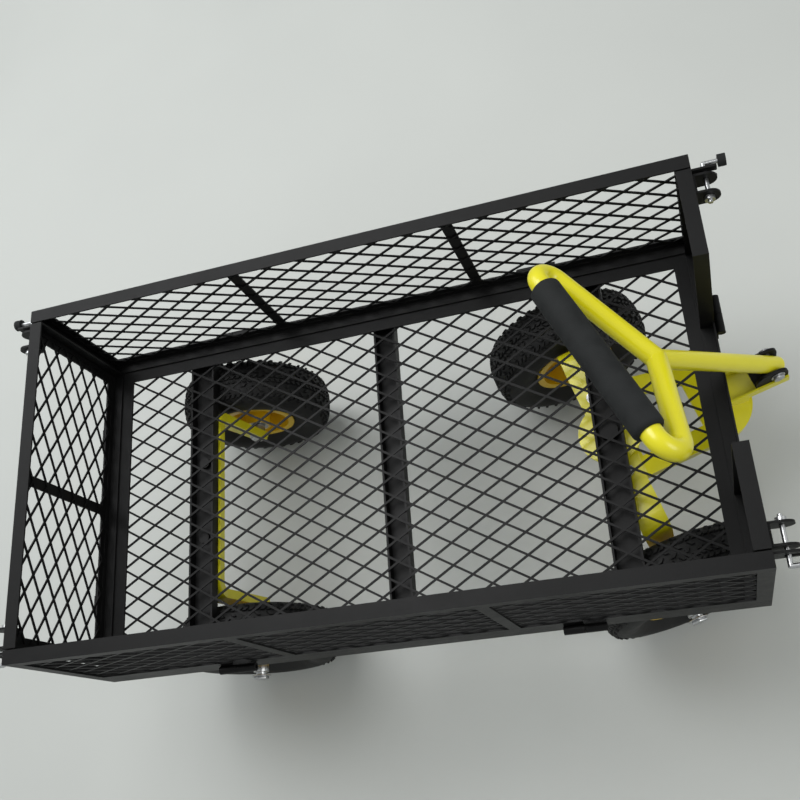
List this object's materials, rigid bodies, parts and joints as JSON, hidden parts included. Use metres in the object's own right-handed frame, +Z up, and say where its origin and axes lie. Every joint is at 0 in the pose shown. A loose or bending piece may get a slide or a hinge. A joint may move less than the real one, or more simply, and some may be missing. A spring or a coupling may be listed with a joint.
{
  "type": "garden cart",
  "caption": "Four-wheeled garden cart with an open mesh deck, folding mesh side panels, a slotted front gate and a steered tongue with a padded pull handle.",
  "frame": {"origin": "on the floor, under the middle of the overall box, with the handle parked and the front wheels turned a little to the left", "axes": "+X forward, towards the tongue and handle; +Y the cart's left side; +Z up"},
  "size_m": [1.0946, 0.546, 0.5564],
  "materials": {
    "black_coat": "satin black powder coat",
    "yellow_coat": "gloss yellow powder coat",
    "rim_coat": "gloss golden yellow paint",
    "zinc": "bright zinc plate",
    "tyre": "moulded black rubber with a block tread",
    "foam": "matt closed-cell foam",
    "knob_rubber": "matt moulded rubber"
  },
  "bodies": {
    "chassis": {"deck_frame": "black_coat", "deck_mesh": "black_coat", "cross_beam_front": "black_coat", "cross_beam_middle": "black_coat", "cross_beam_rear": "black_coat", "rear_axle_bracket": "yellow_coat", "rear_bracket_bolts": "zinc", "rear_axle_stubs": "zinc", "turntable_plate": "yellow_coat", "kingpin": "zinc", "hinge_pins_side_left": "black_coat", "hinge_pins_side_right": "black_coat", "hinge_pins_gate_front": "black_coat", "hinge_pins_gate_rear": "black_coat", "gate_front_frame": "black_coat", "gate_front_mesh": "black_coat", "hinge_sleeves_gate_front": "black_coat", "latch_ears_gate_front": "black_coat"},
    "side_left": {"side_left_frame": "black_coat", "side_left_mesh": "black_coat", "hinge_sleeves_side_left": "black_coat", "latch_tabs_side_left": "black_coat"},
    "side_right": {"side_right_frame": "black_coat", "side_right_mesh": "black_coat", "hinge_sleeves_side_right": "black_coat", "latch_tabs_side_right": "black_coat"},
    "gate_rear": {"gate_rear_frame": "black_coat", "gate_rear_mesh": "black_coat", "hinge_sleeves_gate_rear": "black_coat", "latch_ears_gate_rear": "black_coat"},
    "steering": {"steering_yoke": "yellow_coat", "front_axle_stubs": "zinc", "tongue": "yellow_coat", "tongue_bolts": "zinc", "handle_clevis": "black_coat", "handle_pivot_bolt": "zinc"},
    "handle": {"handle_tube": "yellow_coat", "handle_grip": "foam"},
    "latch_front_left": {"latch_pin_front_left": "zinc", "latch_knob_front_left": "knob_rubber"},
    "wheel_front_left": {"tyre_front_left": "tyre", "rim_front_left": "rim_coat", "bearings_front_left": "zinc"},
    "latch_front_right": {"latch_pin_front_right": "zinc", "latch_knob_front_right": "knob_rubber"},
    "wheel_front_right": {"tyre_front_right": "tyre", "rim_front_right": "rim_coat", "bearings_front_right": "zinc"},
    "latch_rear_left": {"latch_pin_rear_left": "zinc", "latch_knob_rear_left": "knob_rubber"},
    "wheel_rear_left": {"tyre_rear_left": "tyre", "rim_rear_left": "rim_coat", "bearings_rear_left": "zinc"},
    "latch_rear_right": {"latch_pin_rear_right": "zinc", "latch_knob_rear_right": "knob_rubber"},
    "wheel_rear_right": {"tyre_rear_right": "tyre", "rim_rear_right": "rim_coat", "bearings_rear_right": "zinc"}
  },
  "joints": [
    {"name": "steering_turn", "type": "hinge", "parent": "chassis", "child": "steering", "pos_m": [0.29616, 0, 0.25], "axis": [0, 0, 1], "range_deg": [-32, 0]},
    {"name": "handle_tilt", "type": "hinge", "parent": "steering", "child": "handle", "pos_m": [0.52686, 0.06615, 0.2356], "axis": [-0.2756, 0.9613, 0], "range_deg": [0, 120]},
    {"name": "side_left_fold", "type": "hinge", "parent": "chassis", "child": "side_left", "pos_m": [-0.02084, 0.267, 0.282], "axis": [-1, 0, 0], "range_deg": [0, 90]},
    {"name": "side_right_fold", "type": "hinge", "parent": "chassis", "child": "side_right", "pos_m": [-0.02084, -0.267, 0.282], "axis": [1, 0, 0], "range_deg": [0, 90]},
    {"name": "gate_rear_fold", "type": "hinge", "parent": "chassis", "child": "gate_rear", "pos_m": [-0.51034, 0, 0.282], "axis": [0, -1, 0], "range_deg": [0, 90]},
    {"name": "latch_front_left_turn", "type": "hinge", "parent": "chassis", "child": "latch_front_left", "pos_m": [0.47766, 0.23, 0.475], "axis": [0, 1, 0], "range_deg": [0, 90]},
    {"name": "latch_front_right_turn", "type": "hinge", "parent": "chassis", "child": "latch_front_right", "pos_m": [0.47766, -0.23, 0.475], "axis": [0, 1, 0], "range_deg": [0, 90]},
    {"name": "latch_rear_left_turn", "type": "hinge", "parent": "gate_rear", "child": "latch_rear_left", "pos_m": [-0.51934, 0.23, 0.475], "axis": [0, -1, 0], "range_deg": [0, 90]},
    {"name": "latch_rear_right_turn", "type": "hinge", "parent": "gate_rear", "child": "latch_rear_right", "pos_m": [-0.51934, -0.23, 0.475], "axis": [0, -1, 0], "range_deg": [0, 90]},
    {"name": "wheel_rear_left_spin", "type": "hinge", "parent": "chassis", "child": "wheel_rear_left", "pos_m": [-0.30984, 0.203, 0.127], "axis": [0, 1, 0], "continuous": true},
    {"name": "wheel_front_left_spin", "type": "hinge", "parent": "steering", "child": "wheel_front_left", "pos_m": [0.2402, 0.19514, 0.127], "axis": [-0.2756, 0.9613, 0], "continuous": true},
    {"name": "wheel_rear_right_spin", "type": "hinge", "parent": "chassis", "child": "wheel_rear_right", "pos_m": [-0.30984, -0.203, 0.127], "axis": [0, 1, 0], "continuous": true},
    {"name": "wheel_front_right_spin", "type": "hinge", "parent": "steering", "child": "wheel_front_right", "pos_m": [0.35211, -0.19514, 0.127], "axis": [-0.2756, 0.9613, 0], "continuous": true}
  ]
}
